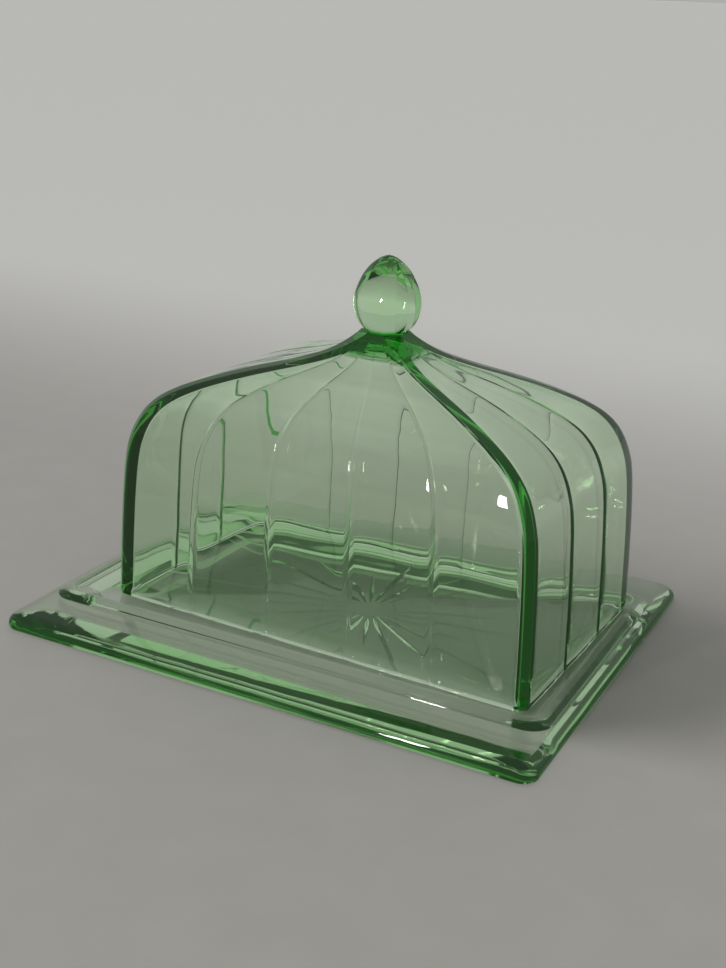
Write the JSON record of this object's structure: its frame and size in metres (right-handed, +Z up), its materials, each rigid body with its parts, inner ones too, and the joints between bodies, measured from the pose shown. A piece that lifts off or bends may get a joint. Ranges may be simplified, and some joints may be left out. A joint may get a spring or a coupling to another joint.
{
  "type": "covered glass dish",
  "caption": "Rectangular covered dish in green pressed glass: a domed lid with a bud knob stands loose on a stepped plate with a shallow well.",
  "frame": {"origin": "centre of the plate's underside, on the surface it stands on", "axes": "+X along the plate's long side, +Z up; -Y faces the viewer of the long front side"},
  "size_m": [0.19, 0.1488, 0.1271],
  "materials": {
    "plate_glass": "fire-polished green pressed glass, thick edges deep green",
    "lid_glass": "fire-polished green pressed glass, softly wavy"
  },
  "bodies": {
    "plate": {"plate": "plate_glass"},
    "lid": {"lid": "lid_glass"}
  },
  "joints": [
    {"name": "lid_lift", "type": "slide", "parent": "plate", "child": "lid", "axis": [0, 0, 1], "range_m": [0, 0.15]}
  ]
}
